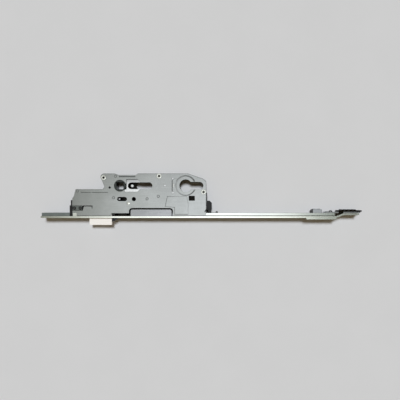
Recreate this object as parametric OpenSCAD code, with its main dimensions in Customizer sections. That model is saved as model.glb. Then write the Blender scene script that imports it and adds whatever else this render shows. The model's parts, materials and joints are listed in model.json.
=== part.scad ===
// Centre case of a multipoint door lock, lying on its side.
// X runs along the faceplate, Y from the faceplate into the case, Z out of the cover.
// The origin is on the axis of the profile cylinder, half way through the case.

/* [Lock] */
// Faceplate front to the cylinder axis
backset = 45; // [42:0.5:55]
// Hub axis to cylinder axis
hub_dist = 92; // [88:1:100]
// Side of the square spindle hole
spindle = 10; // [8:0.5:10]
// Travel of the drive slide and throw of the bolt
throw = 20; // [16:1:20]
// Turn of the hub, degrees
hub_turn = 38; // [30:1:40]

/* [Faceplate] */
// Width of the faceplate
face_w = 20; // [18:0.5:24]
// Thickness of the faceplate
face_t = 2.5; // [2:0.1:3]
// Cylinder axis to the left end
face_left = 202; // [190:1:400]
// Cylinder axis to the start of the joggle
face_right = 210; // [205:1:260]
// Length of the joggle
joggle_len = 9.6; // [6:0.2:12]
// Length of the tongue past the joggle
tongue_len = 23; // [15:1:40]
// Width of the tongue
tongue_w = 16; // [10:0.5:18]
// Length of the doubler in front of the right end
doubler_len = 42; // [30:1:60]
// Thickness of the doubler
doubler_t = 2; // [1:0.1:3]
// Radius of the fixing screw holes
screw_hole_r = 2.6; // [2:0.1:3]
// Radius of the fixing holes' countersinks
screw_sink_r = 4.1; // [3.6:0.1:4.6]
// Radius of the cylinder screw's hole
cyl_screw_r = 2.65; // [2.5:0.05:3]

/* [Case] */
// Thickness over plate and cover
case_thick = 16; // [16:0.5:18]
// Sheet thickness
sheet = 1.5; // [1.2:0.1:1.8]
// Cylinder axis to the right wall
case_right = 28.8; // [28:0.2:34]
// Hub axis to the left wall
case_left = 67; // [66:0.2:80]
// Hub axis to the rear edge
case_rear = 17.3; // [17:0.1:22]
// Hub axis down to the rear edge of the left block
block_drop = 4.75; // [4:0.25:6]
// Depth of the recess in the rear edge
recess_d = 2.1; // [1.5:0.1:3]
// Radius of the ear round the left hollow screw
ear_r = 5.1; // [4.6:0.1:6]
// Radius of the profile cylinder opening
cyl_r = 8.75; // [8.5:0.05:9]
// Width of the profile cylinder slot
cyl_slot_w = 10.5; // [10:0.1:11]
// Cylinder axis to the end of its slot
cyl_slot_end = 24.7; // [24.5:0.1:25]
// Radius of the embossed ring round the cylinder
ring_r = 13.6; // [12:0.1:15]
// Width of the embossed ring
ring_w = 1.2; // [0.8:0.1:2]
// Height of the embossed ring and dimples
emboss_h = 0.5; // [0.3:0.1:1]
// Length of the windows along the faceplate
window_len = 61.5; // [50:0.5:66]
// Depth of the windows behind the faceplate
window_d = 11.3; // [9:0.1:11.6]
// Gap between a window's edge and the bolt
window_gap = 2; // [0.6:0.1:2.4]
// Width of the handle fixing slot
fix_slot_w = 9.2; // [8:0.1:9.4]
// Hub axis to the far end of the fixing slot
fix_slot_end = 45.4; // [42:0.2:47]
// Radius of a hollow screw's head
hollow_head_r = 3.7; // [3.4:0.1:4.2]
// Radius of a hollow screw's barrel
hollow_r = 2.1; // [2:0.05:2.2]
// Radius of a hollow screw's hole
hollow_bore_r = 1.5; // [1:0.1:1.6]

/* [Latch] */
// Width of the latch
latch_w = 31.4; // [28:0.2:33]
// Thickness of the latch head
head_t = 12; // [10:0.2:12.4]
// How far the latch stands out
latch_out = 10; // [8:0.5:11]
// Length of the latch inside the case
latch_in = 13; // [10:0.5:15]
// Latch centre, left of the hub axis
latch_dx = 27.3; // [26:0.1:29]
// Radius of the hub's lifting arm
arm_r = 15; // [14:0.1:15.6]
// Radius of the arm's round tip
arm_tip_r = 2.5; // [2:0.1:2.6]
// Width of the arm
arm_w = 3; // [2:0.1:3]

/* [Hub] */
// Radius of the hub's bearing
hub_r = 8.2; // [8:0.05:8.4]
// Radius of the hub's flange
flange_r = 11; // [10:0.1:11.2]
// Travel of the thrust plate per radian, the cam's base radius
cam_base_r = 4.5; // [3.5:0.1:5]
// Hub axis to the cam's resting contact
cam_rest = 8.6; // [8.5:0.05:9]
// Width of the thrust plate
thrust_w = 19; // [17:0.2:20]
// Length of the thrust plate
thrust_len = 27; // [24:0.5:30]

/* [Bolt and slide] */
// Thickness of the bolt head
bolt_t = 14; // [12:0.2:15]
// Width of the bolt's tail
bolt_tail_w = 34; // [32:0.5:40]
// Radius of the bolt's cross pin
bolt_pin_r = 2; // [1.6:0.1:2.1]
// Thickness of the drive slide
slide_t = 2.7; // [2:0.1:2.8]
// Pitch of the notches for the cylinder's cam
cam_pitch = 10; // [9:0.5:11]
// Thickness of the drive rod
rod_t = 3.6; // [2.6:0.1:3.8]
// Width of the drive rod
rod_w = 12; // [10:0.2:12.4]
// Space between the faceplate and the rod
rod_space = 0.7; // [0.5:0.1:0.9]
// Cylinder axis to the rod's right end
rod_right = 209; // [205:1:209]
// Length of the toothed coupler
coupler_len = 32.4; // [30:0.2:45]
// Pitch of the coupler's teeth
tooth_pitch = 5.8; // [5:0.1:6.5]
// Height of the coupler's teeth
tooth_h = 1.2; // [0.8:0.1:2.5]
// Number of teeth
tooth_count = 4; // [3:1:4]
// Length of the zinc block on the rod
block_len = 13; // [12.5:0.1:16]
// Height of the zinc block
block_h = 5.2; // [4:0.2:8]

/* [Fits] */
// Space between pieces that move past each other
run_gap = 0.3; // [0.25:0.05:0.4]
// Running clearance of the hub and the cross pin
fit_gap = 0.05; // [0.03:0.01:0.1]
// Clearance of a seated rivet, screw or tab
seat_gap = 0.02; // [0.02:0.01:0.05]
// Wire radius of the latch spring
latch_wire_r = 0.5; // [0.4:0.05:0.6]
// Wire radius of the thrust springs
thrust_wire_r = 0.35; // [0.3:0.05:0.4]

/* [Hidden] */
$fn = 48;
over = 1;
front_y = -backset;
back_y = front_y + face_t;
hub_x = -hub_dist;
half = case_thick / 2;
floor_z = sheet - half;
roof_z = half - sheet;
inner_h = roof_z - floor_z;
case_x0 = hub_x - case_left;
case_x1 = case_right;
block_y = -block_drop;
recess_y = case_rear - recess_d;
cover_inset = 0.4;

// Corners of the outline, posts, dimples and hollow screws
slope_x = 3.2;
slope_end_drop = 7.2;
corner_drop = 10.7;
corner_w = 4.6;
recess_right = 21.8;
recess_slope = 3.5;
recess_left = 2.1;
recess_slope_left = 5.7;
ear_dx = 22.4;
ear_steps = 10;
ear_sweep = 125;
neck_dx = [23.5, 22.1, 24.5];
neck_top = [hub_x - neck_dx[0], 3.1];
neck_low = [hub_x - neck_dx[1], -1.8];
neck_foot = [hub_x - neck_dx[2], block_y];
left_lean = 4.7;
left_step = [2.1, 9.65, 12.9];
post_r = 2.2;
post_rivet_r = 1.4;
post_head_r = 1.75;
post_dx = [62.8, 11.9];
post_y = [10.5, -9.5, 0.7, -24.5];
post_spots = [
    [-18.2, post_y[0]],
    [-18, post_y[1]],
    [hub_x + post_dx[0], post_y[2]],
    [hub_x + post_dx[1], post_y[3]]
];
dimple_r = 0.9;
dimple_dx = [-8.9, -6, -59.3];
dimple_spots = [
    [hub_x + dimple_dx[0], -16.8],
    [-54, -18.3],
    [-38.3, -14.8],
    [hub_x + dimple_dx[1], 13.2],
    [hub_x + dimple_dx[2], -7.3]
];
hollow_dx = 22.9;
hollow_in = [6, 3.8];
hollow_spots = [
    [hub_x - hollow_dx, case_rear - hollow_in[0]],
    [-37.2, case_rear - hollow_in[1]],
    [case_right - hollow_in[1], -8.7]
];
hollow_head_h = 0.8;

// Openings of the cover beside the hub
wide_dx = [6, 28];
wide_x = [for (dx = wide_dx) hub_x + dx];
wide_y = [-8.4, 9.1];
wide_chamfer = 3.5;
wide_step = [3, 4.5];
rear_gap_x = [hub_x - 0.8, hub_x + 21.4];
rear_gap_w = 1.6;
peep_hole = [hub_x - 14.2, -2.5, 1.6];
stud_slot_x = [hub_x - 3.8, hub_x + 9.8];
stud_slot_y = -18.6;
stud_slot_w = 5.8;
round_hole = [hub_x + 19.6, -18.7, 2.9];
view_hole = [8.5, -17.5, 8, 6.5];
window_x = -17.8;
window_r = 4.5;
edge_slot_x = [hub_x - 12, hub_x + 14.3];
edge_slot_d = 3.9;
line_slot_w = 0.8;
line_slot_y = -9.4;
line_slot_dx = [[-55, -40.5], [-39, -16.5]];
line_slot_ends = [for (dx = line_slot_dx) [hub_x + dx[0], hub_x + dx[1]]];

// Cut in the left end of the cover, over the end moulding
end_cut_y = [back_y + 7.8, back_y + 14.6];
end_cut_dx = -50;
end_cut_x = hub_x + end_cut_dx;
end_cut_lean = 2.2;
end_cut_z = -1;
hook_slit_dx = -38.5;
hook_slit_x = hub_x + hook_slit_dx;
hook_slit_w = 0.9;
hook_slit_d = 3.6;

// Raised panel and ribs of the cover beside the cylinder
panel_h = 0.35;
panel_top = -14.8;
panel_low = back_y + 2.5;
panel_right = view_hole[0] - view_hole[2] / 2 - 1;
panel_points = [
    [window_x + 2.3, panel_low],
    [panel_right, panel_low],
    [panel_right, panel_top - 9],
    [panel_right - 2, panel_top],
    [window_x - 7.7, panel_top],
    [window_x - 11, back_y + window_d + 2],
    [window_x + 2.3, back_y + window_d + 1]
];
rib_boxes = [[-19.3, -7.2, 0.8, 15], [-17.5, -2.3, 1, 5.2]];
plate_slot_start = hub_x + 21;

// Layers between the case plate and the cover, from the floor up
slide_z0 = floor_z + run_gap;
slide_z1 = slide_z0 + slide_t;
thrust_z1 = roof_z - run_gap;
thrust_t = 2.9;
thrust_z0 = thrust_z1 - thrust_t;
flange_z1 = thrust_z0 - run_gap;
flange_z0 = slide_z1 + run_gap;
tail_z1 = thrust_z0 - 2 * run_gap;
hub_proud = 0.3;

// Latch
latch_x = hub_x - latch_dx;
latch_x0 = latch_x - latch_w / 2;
latch_x1 = latch_x + latch_w / 2;
latch_front = front_y - latch_out;
latch_back = front_y + latch_in;
latch_nose = 2;
latch_travel = 2 * arm_r * sin(hub_turn / 2);
tail_w = 7;
tail_x0 = hub_x - 18.5;
tail_seat = 6;
tail_rivet_r = 1.5;
lug_y = -arm_r * sin(hub_turn / 2) + arm_tip_r + run_gap;
lug_h = 4;
lug_x = [hub_x - 18, hub_x - 12];
spring_x = latch_x0 + 11;
spring_r = 3.7;
pocket_r = spring_r + 0.5;
pocket_d = 6;
guide_d = 6;
guide_w = 3.9;
ramp_w = 8.3;
ramp_h = 5.7;

// Thrust plate and its springs
thrust_x0 = hub_x + cam_rest + run_gap;
thrust_slot_x = thrust_x0 + 2.1;
thrust_x1 = thrust_x0 + thrust_len;
thrust_spring_len = 16;
thrust_spring_r = 1.5;
thrust_spring_y = (thrust_w + fix_slot_w) / 4;
thrust_horn_x = hub_x + 4.5;
thrust_horn_y = -5;
stop_w = 3;
slot_pin_x = hub_x + 16.5;
slot_pin_r = 2;

// Bolt, slide and rod
bolt_x1 = window_x - window_gap;
bolt_x0 = window_x - window_len + window_gap;
bolt_w = bolt_x1 - bolt_x0;
bolt_head_back = back_y + window_d - window_gap;
bolt_tail_x = (bolt_x0 + bolt_x1) / 2;
bolt_tail_top = -fix_slot_w / 2 - 0.4;
bolt_pin_dx = -3;
bolt_pin_edge = 1.2;
bolt_pin_x = bolt_tail_x + bolt_pin_dx;
bolt_pin_y = bolt_tail_top - bolt_pin_r - bolt_pin_edge;
slide_low = bolt_head_back + 0.5;
slide_margin = 2;
slide_top = -13.5;
cam_edge = -12.5;
cam_notch_w = 7.5;
cam_notch_d = 3.5;
cam_notch_x = 8;
leg_x0 = throw + bolt_x1 + 1;
leg_x1 = case_x1 - sheet - 1;
rod_y0 = back_y + rod_space;
rod_y1 = rod_y0 + rod_t;
rod_x0 = leg_x0;
joggle_in = rod_space + rod_t - run_gap;
tab_w = 6;
tab_spots = [leg_x0 + 5, leg_x0 + 15];
cyl_screw_x = 18;
screw_spots = [-184, 52, 140];
screw_run = 0.6;
rod_slot_half = screw_hole_r + screw_run;
foot_x0 = 33;
foot_x1 = 45.4;
foot_t = 0.6;
stud_r = 1.5;
stud_shank_r = 0.7;
stud_x = foot_x1 - 1.7;
zinc_x0 = 178;
zinc_bevel = [1.2, 1.2];
zinc_rivets = [3.4, 9.6];
rivet_r = 1.5;
rivet_head_r = 2.6;
rivet_head_h = 0.6;
carrier_x0 = 196;
carrier_t = 1.6;
carrier_reach = 36;
carrier_x1 = rod_right + carrier_reach;
coupler_x0 = rod_right + 5.5;
coupler_y0 = rod_y1 + carrier_t;
coupler_t = 2.2;
coupler_cheek_x = [0, 6];
coupler_cheek_t = 1.4;
tooth_first = 5.5;
tooth_base = 3.6;
tooth_tip = 1.8;
carrier_rivet_x = carrier_x0 + 3.5;
coupler_rivets = [3.2, 28.2];
hook_x = 205;
hook_r = [1, 2];
hook_w = 4;

// Front lugs, guides and clip
lug_dx = [-52.5, 4];
lug_spots = [for (d = lug_dx) hub_x + d];
front_lug_w = 9;
front_lug_d = 4.4;
front_lug_top = 2.6;
front_screw_r = 2;
front_head_r = 4.2;
front_sink = 1.8;
doubler_rivet_spots = [10, 32];
left_guide_w = 3.4;
left_guide_y = [back_y, back_y + 22.5];
left_guide_h = 15;
left_guide_nose = 1.6;
backing_d = 4.6;
end_boss_spots = [case_x0 + 3, case_x0 + 11.2];
end_boss_y = (end_cut_y[0] + end_cut_y[1]) / 2;
end_boss_r = [1.1, 2];
clip_w = 7.7;
clip_y = [back_y + 4.3, back_y + 21.5];
clip_corner = 3;
clip_proud = 1.2;
clip_spine_w = 1.1;
clip_spine_top = -9.8;
clip_notch = [2.6, 7];
clip_leg_dx = 4.7;
clip_leg_r = [6.2, 7.4];
clip_leg_a = [100, 172];
clip_channel = rod_y1 + foot_t + 2 * stud_r + 0.4;
corner_w_block = 5.3;
corner_d_block = 4.5;

steel = [0.72, 0.73, 0.72];
bright = [0.86, 0.87, 0.84];
zinc = [0.62, 0.63, 0.62];
dark = [0.24, 0.25, 0.24];
black = [0.09, 0.09, 0.09];
pale = [0.84, 0.83, 0.78];

// Outline of the case, anticlockwise from its left front corner
function arc(c, r, from, to, steps) =
    [for (i = [0:steps]) let (a = from + (to - from) * i / steps) c + r * [cos(a), sin(a)]];
function case_outline() = concat(
    [
        [case_x0, back_y],
        [case_x1, back_y],
        [case_x1, case_rear - corner_drop],
        [case_x1 - corner_w, case_rear - slope_end_drop],
        [slope_x, case_rear],
        [hub_x + recess_right + recess_slope, case_rear],
        [hub_x + recess_right, recess_y],
        [hub_x - recess_left, recess_y],
        [hub_x - recess_left - recess_slope_left, case_rear]
    ],
    arc([hub_x - ear_dx, case_rear - ear_r], ear_r, 90, 90 + ear_sweep, ear_steps),
    [
        neck_top,
        neck_low,
        neck_foot,
        [case_x0 + left_lean, block_y],
        [case_x0 + left_step[0], block_y - left_step[1]],
        [case_x0, block_y - left_step[2]]
    ]
);

// The same outline moved in by a given distance
function cross2(a, b) = a[0] * b[1] - a[1] * b[0];
function inward(a, b) = let (d = (b - a) / norm(b - a)) [-d[1], d[0]];
function meet(p, d, q, e) = p + d * cross2(q - p, e) / cross2(d, e);
function inset(pts, gap) = let (n = len(pts)) [
    for (i = [0:n - 1])
        let (a = pts[(i + n - 1) % n], b = pts[i], c = pts[(i + 1) % n])
            meet(b + gap * inward(a, b), b - a, b + gap * inward(b, c), c - b)
];

// Flat shapes shared by several pieces
module obround(x0, x1, y, w) {
    translate([x0 + w / 2, y - w / 2]) square([x1 - x0 - w, w]);
    translate([x0 + w / 2, y]) circle(d = w);
    translate([x1 - w / 2, y]) circle(d = w);
}
module profile_opening() {
    circle(r = cyl_r);
    translate([0, -cyl_slot_w / 2]) square([cyl_slot_end - cyl_slot_w / 2, cyl_slot_w]);
    translate([cyl_slot_end - cyl_slot_w / 2, 0]) circle(d = cyl_slot_w);
}
module at_spots(spots) {
    for (p = spots) translate(p) children();
}
// A cylinder along +Y from y0 to y1
module bar_y(x, y0, y1, r, z = 0) {
    translate([x, y0, z]) rotate([-90, 0, 0]) cylinder(r = r, h = y1 - y0);
}
// A slot cut along +Y, longer in X
module slot_y(x0, x1, y0, y1, half_w) {
    bar_y(x0 + half_w, y0, y1, half_w);
    bar_y(x1 - half_w, y0, y1, half_w);
    translate([x0 + half_w, y0, -half_w]) cube([x1 - x0 - 2 * half_w, y1 - y0, 2 * half_w]);
}
// A flat-headed rivet or screw along +Y, its countersunk head at y0
module sunk_pin(x, y0, y1, r, head_r, head_h) {
    bar_y(x, y0, y1, r);
    translate([x, y0, 0]) rotate([-90, 0, 0]) cylinder(r1 = head_r, r2 = r, h = head_h);
}
// A profile drawn in Y and Z, extruded along X
module along_x(x0, x1) {
    translate([x0, 0, 0]) rotate([90, 0, 90]) linear_extrude(x1 - x0) children();
}

// Coil springs along +Z, each one unbroken tube
wire_sides = 6;
turn_rings = 8;
function coil_at(t, len, r, wire, turns) =
    [r * cos(360 * turns * t), r * sin(360 * turns * t), wire + (len - 2 * wire) * t];
function coil_path(len, r, wire, turns) =
    [for (i = [0:turns * turn_rings]) coil_at(i / (turns * turn_rings), len, r, wire, turns)];
function coil_ring(p, a, wire) =
    [for (k = [0:wire_sides - 1]) let (b = 360 * k / wire_sides)
        p + wire * [cos(b) * cos(a), cos(b) * sin(a), sin(b)]];
function coil_gap(path, wire) =
    min([for (i = [0:len(path) - 1 - turn_rings]) norm(path[i + turn_rings] - path[i])]) - 2 * wire;
module coil_spring(len, r, wire, turns) {
    path = coil_path(len, r, wire, turns);
    rings = len(path);
    points = [for (i = [0:rings - 1]) each coil_ring(path[i], 360 * i / turn_rings, wire)];
    sides = [for (i = [0:rings - 2]) for (k = [0:wire_sides - 1])
        let (a = i * wire_sides + k, b = i * wire_sides + (k + 1) % wire_sides)
            each [[a, a + wire_sides, b], [b, a + wire_sides, b + wire_sides]]];
    first = [for (k = [1:wire_sides - 2]) [0, k, k + 1]];
    top = (rings - 1) * wire_sides;
    last = [for (k = [1:wire_sides - 2]) [top, top + k + 1, top + k]];
    polyhedron(points, concat(sides, first, last), convexity = 10);
    echo("least gap between turns", coil_gap(path, wire));
}

module faceplate() {
    joggle_x = face_right + joggle_len;
    color(bright) difference() {
        translate([0, 0, -face_w / 2]) linear_extrude(face_w) polygon([
            [-face_left, front_y],
            [face_right, front_y],
            [joggle_x, front_y + joggle_in],
            [joggle_x + tongue_len, front_y + joggle_in],
            [joggle_x + tongue_len, back_y + joggle_in],
            [joggle_x, back_y + joggle_in],
            [face_right, back_y],
            [-face_left, back_y]
        ]);
        for (s = [-1, 1])
            translate([joggle_x, -backset, s * (tongue_w + face_w) / 2 - face_w / 2])
                cube([tongue_len + over, backset, face_w]);
        for (x = screw_spots) {
            bar_y(x, front_y - over, back_y + over, screw_hole_r);
            sunk_pin(x, front_y, back_y, screw_hole_r, screw_sink_r, screw_sink_r - screw_hole_r);
        }
        bar_y(cyl_screw_x, front_y - over, back_y + over, cyl_screw_r);
        sunk_pin(cyl_screw_x, front_y, back_y, cyl_screw_r, screw_sink_r, screw_sink_r - cyl_screw_r);
        for (x = lug_spots)
            sunk_pin(x, front_y, back_y + over, front_screw_r + seat_gap,
                front_head_r + seat_gap, front_sink);
        for (x = doubler_rivet_spots)
            bar_y(face_right - doubler_len + x, front_y - over, back_y + over, rivet_r + seat_gap);
        translate([latch_x0 - run_gap, front_y - over, -head_t / 2 - run_gap])
            cube([latch_w + 2 * run_gap, face_t + 2 * over, head_t + 2 * run_gap]);
        translate([latch_x1, front_y - over, -head_t / 2])
            cube([run_gap + ramp_w + seat_gap, face_t + 2 * over, head_t]);
        translate([bolt_x0 - run_gap, front_y - over, -bolt_t / 2 - run_gap])
            cube([bolt_w + 2 * run_gap, face_t + 2 * over, bolt_t + 2 * run_gap]);
    }
}

module end_doubler() {
    x0 = face_right - doubler_len;
    color(bright) difference() {
        translate([x0, front_y - doubler_t, -face_w / 2]) cube([doubler_len, doubler_t, face_w]);
        for (x = doubler_rivet_spots)
            sunk_pin(x0 + x, front_y - doubler_t, front_y + over, rivet_r + seat_gap,
                rivet_head_r + seat_gap, rivet_head_r - rivet_r);
    }
}

module doubler_rivets() {
    color(steel) for (x = doubler_rivet_spots)
        sunk_pin(face_right - doubler_len + x, front_y - doubler_t, back_y, rivet_r, rivet_head_r,
            rivet_head_r - rivet_r);
}

module case_holes() {
    profile_opening();
    translate([hub_x, 0]) circle(r = hub_r + fit_gap);
    at_spots(hollow_spots) circle(r = hollow_r + seat_gap);
    at_spots(post_spots) circle(r = post_rivet_r + seat_gap);
}

module case_plate() {
    color(zinc) translate([0, 0, -half]) linear_extrude(sheet) difference() {
        polygon(case_outline());
        case_holes();
        window_shape(back_y - over);
        obround(plate_slot_start, hub_x + fix_slot_end, 0, fix_slot_w);
        translate([slot_pin_x, 0]) circle(r = post_rivet_r + seat_gap);
        translate([stud_slot_x[0] + stud_slot_w / 2, stud_slot_y]) circle(r = post_rivet_r + seat_gap);
    }
}

// Bent band between plate and cover, open towards the faceplate
module case_rim() {
    color(zinc) difference() {
        translate([0, 0, floor_z]) linear_extrude(inner_h) difference() {
            polygon(case_outline());
            polygon(inset(case_outline(), sheet));
            translate([case_x0 + sheet, back_y - over])
                square([case_x1 - case_x0 - 2 * sheet, sheet + 2 * over]);
            translate([case_x1 - 2 * sheet, back_y - over])
                square([3 * sheet, clip_channel - back_y + over]);
        }
        translate([case_x0 - over, end_cut_y[0], end_cut_z])
            cube([sheet + 2 * over, end_cut_y[1] - end_cut_y[0], case_thick]);
    }
}

// Window with two round rear corners, and the bolt head that fills it to within a gap
module window_shape(front, gap = 0) {
    x0 = window_x - window_len + gap;
    x1 = window_x - gap;
    top = back_y + window_d - gap;
    r = window_r - gap;
    translate([x0, front]) square([x1 - x0, top - r - front]);
    translate([x0 + r, front]) square([x1 - x0 - 2 * r, top - front]);
    translate([x0 + r, top - r]) circle(r = r);
    translate([x1 - r, top - r]) circle(r = r);
}

// Opening beside the hub, running into the fixing slot
module wide_shape() {
    polygon([
        [wide_x[0], wide_y[0]],
        [wide_x[1] - wide_chamfer, wide_y[0]],
        [wide_x[1], wide_y[0] + wide_chamfer],
        [wide_x[1], wide_y[1] - wide_chamfer],
        [wide_x[1] - wide_chamfer, wide_y[1]],
        [wide_x[0] + wide_step[0], wide_y[1]],
        [wide_x[0] + wide_step[0], wide_step[1]],
        [wide_x[0], 0]
    ]);
    obround(wide_x[1] - fix_slot_w, hub_x + fix_slot_end, 0, fix_slot_w);
}

module case_cover() {
    color(zinc) {
        difference() {
            translate([0, 0, roof_z]) linear_extrude(sheet) polygon(inset(case_outline(), cover_inset));
            translate([0, 0, roof_z - over]) linear_extrude(sheet + 2 * over) {
                case_holes();
                wide_shape();
                window_shape(back_y - over);
                translate([peep_hole[0], peep_hole[1]]) circle(r = peep_hole[2]);
                translate([round_hole[0], round_hole[1]]) circle(r = round_hole[2]);
                translate([rear_gap_x[0], recess_y - sheet - rear_gap_w])
                    square([rear_gap_x[1] - rear_gap_x[0], sheet + rear_gap_w + over]);
                obround(stud_slot_x[0], stud_slot_x[1], stud_slot_y, stud_slot_w);
                translate([edge_slot_x[0], back_y - over])
                    square([edge_slot_x[1] - edge_slot_x[0], edge_slot_d + over]);
                translate([view_hole[0] - view_hole[2] / 2, view_hole[1] - view_hole[3] / 2])
                    square([view_hole[2], view_hole[3]]);
                for (s = line_slot_ends) obround(s[0], s[1], line_slot_y, line_slot_w);
                translate([case_x0, back_y])
                    square([sheet + corner_w_block + 2 * seat_gap, corner_d_block + seat_gap]);
                polygon([
                    [case_x0 - over, end_cut_y[0]],
                    [end_cut_x - end_cut_lean, end_cut_y[0]],
                    [end_cut_x, end_cut_y[1]],
                    [case_x0 - over, end_cut_y[1]]
                ]);
                translate([end_cut_x - over, end_cut_y[1] - hook_slit_w])
                    square([hook_slit_x - end_cut_x + over, hook_slit_w]);
                translate([hook_slit_x - hook_slit_w, end_cut_y[1] - hook_slit_d])
                    square([hook_slit_w, hook_slit_d]);
            }
        }
        ring_open = asin((cyl_slot_w / 2 + ring_w) / ring_r);
        translate([0, 0, half]) rotate([0, 0, ring_open]) rotate_extrude(angle = 360 - 2 * ring_open)
            translate([ring_r - ring_w / 2, -emboss_h]) square([ring_w, 2 * emboss_h]);
        translate([0, 0, half - emboss_h]) {
            at_spots(dimple_spots) cylinder(r1 = dimple_r + emboss_h, r2 = dimple_r, h = 2 * emboss_h);
            linear_extrude(emboss_h + panel_h) polygon(panel_points);
            for (b = rib_boxes) translate([b[0], b[1], 0]) cube([b[2], b[3], emboss_h + panel_h]);
        }
    }
}

module case_screws() {
    color(bright) translate([0, 0, -half - hollow_head_h]) at_spots(hollow_spots) difference() {
        union() {
            cylinder(r = hollow_head_r, h = hollow_head_h);
            cylinder(r = hollow_r, h = case_thick + 2 * hollow_head_h);
            translate([0, 0, case_thick + hollow_head_h]) cylinder(r = hollow_head_r, h = hollow_head_h);
        }
        translate([0, 0, -over]) cylinder(r = hollow_bore_r, h = case_thick + 2 * hollow_head_h + 2 * over);
    }
}

module case_posts() {
    color(bright) at_spots(post_spots) {
        translate([0, 0, floor_z]) cylinder(r = post_r, h = inner_h);
        translate([0, 0, -half - emboss_h]) cylinder(r = post_rivet_r, h = case_thick + 2 * emboss_h);
        translate([0, 0, half]) cylinder(r1 = post_head_r, r2 = post_rivet_r, h = emboss_h);
        translate([0, 0, -half - emboss_h]) cylinder(r1 = post_rivet_r, r2 = post_head_r, h = emboss_h);
    }
}

// End moulding: a stepped strip outside the rim, and a tongue with two bosses under the cover's cut
module left_guide() {
    depth = left_guide_y[1] - left_guide_y[0];
    tongue_y = [end_cut_y[0] + run_gap, end_cut_y[1] - run_gap];
    tongue_z = end_cut_z + run_gap;
    tongue_top = roof_z - run_gap;
    color(black) difference() {
        union() {
            translate([case_x0 - left_guide_w, left_guide_y[0], -left_guide_h / 2])
                cube([left_guide_w, depth, left_guide_h]);
            translate([case_x0 - over, tongue_y[0], tongue_z])
                cube([end_cut_x - case_x0 - end_cut_lean, tongue_y[1] - tongue_y[0], tongue_top - tongue_z]);
            for (x = end_boss_spots) translate([x, end_boss_y, tongue_top - over])
                cylinder(r = end_boss_r[1], h = over + sheet);
        }
        translate([case_x0 - left_guide_w - over, left_guide_y[1] - depth / 3, -left_guide_h])
            cube([left_guide_nose + over, depth, 2 * left_guide_h]);
        for (x = end_boss_spots) translate([x, end_boss_y, tongue_top - sheet])
            cylinder(r = end_boss_r[0], h = 3 * sheet);
    }
}

// Bar on the back of the faceplate, from the end moulding to the left end
module backing_bar() {
    x1 = case_x0 - left_guide_w - seat_gap;
    color(dark) difference() {
        translate([-face_left, back_y, -rod_w / 2]) cube([face_left + x1, backing_d, rod_w]);
        for (x = screw_spots)
            if (x < x1) bar_y(x, back_y - over, back_y + backing_d + over, rod_slot_half);
    }
}

module corner_block() {
    color(pale) translate([case_x0 + sheet + seat_gap, back_y, floor_z])
        cube([corner_w_block, corner_d_block, case_thick - sheet]);
}

module rod_clip() {
    color(black) {
        difference() {
            translate([case_x1, 0, -half]) linear_extrude(case_thick + clip_proud) polygon([
                [clip_notch[0], clip_y[0]],
                [clip_w - clip_corner / 2, clip_y[0]],
                [clip_w, clip_y[0] + 2 * clip_corner],
                [clip_w, clip_y[1] - clip_corner],
                [clip_w - clip_corner, clip_y[1]],
                [0, clip_y[1]],
                [0, clip_y[0] + clip_notch[1]],
                [clip_notch[0], clip_y[0] + clip_notch[1] - clip_notch[0]]
            ]);
            translate([case_x1 - over, back_y, -rod_w / 2 - run_gap])
                cube([clip_w + 2 * over, clip_channel - back_y, rod_w + 2 * run_gap]);
        }
        translate([case_x1, clip_y[1] - over, -half])
            cube([clip_spine_w, clip_spine_top - clip_y[1] + over, case_thick]);
        translate([case_x1 + clip_leg_dx, clip_y[0], half + seat_gap]) rotate(clip_leg_a[0])
            rotate_extrude(angle = clip_leg_a[1] - clip_leg_a[0])
                translate([clip_leg_r[0], 0]) square([clip_leg_r[1] - clip_leg_r[0], clip_proud - seat_gap]);
    }
}

module front_lugs() {
    color(zinc) for (x = lug_spots) difference() {
        translate([x - front_lug_w / 2, back_y, floor_z])
            cube([front_lug_w, front_lug_d, front_lug_top - floor_z]);
        bar_y(x, back_y - over, back_y + front_lug_d + over, front_screw_r + seat_gap);
    }
}

module front_screws() {
    socket_r = 1.4;
    color(steel) for (x = lug_spots) difference() {
        sunk_pin(x, front_y, back_y + front_lug_d, front_screw_r, front_head_r, front_sink);
        translate([x, front_y - over, 0]) rotate([-90, 0, 0])
            cylinder(r = socket_r, h = front_sink + over, $fn = 6);
    }
}

module latch_guide() {
    cheek_h = inner_h - 2 * seat_gap;
    ramp_t = head_t - 2 * seat_gap;
    left_x = latch_x0 - run_gap - guide_w;
    right_x = latch_x1 + run_gap;
    color(black) {
        translate([left_x, back_y, -cheek_h / 2]) cube([guide_w, guide_d, cheek_h]);
        translate([right_x, back_y, -cheek_h / 2]) cube([guide_w, guide_d, cheek_h]);
        translate([right_x, 0, -ramp_t / 2]) linear_extrude(ramp_t) polygon([
            [0, front_y - ramp_h],
            [ramp_w, front_y],
            [ramp_w, back_y],
            [guide_w, back_y + seat_gap],
            [0, back_y + seat_gap]
        ]);
    }
}

module latch_head() {
    z = head_t / 2;
    color(bright) difference() {
        along_x(latch_x0, latch_x1) polygon([
            [latch_back, -z],
            [latch_back, z],
            [latch_front, z],
            [latch_front, z - latch_nose],
            [front_y, -z]
        ]);
        bar_y(spring_x, latch_back - pocket_d, latch_back + over, pocket_r);
        translate([tail_x0 - seat_gap, latch_back - tail_seat - seat_gap, -z - over])
            cube([latch_w, tail_seat + over, slide_z1 + seat_gap + z + over]);
        translate([tail_x0 + tail_w / 2, latch_back - tail_seat / 2, -z])
            cylinder(r = tail_rivet_r + seat_gap, h = z);
    }
}

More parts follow.
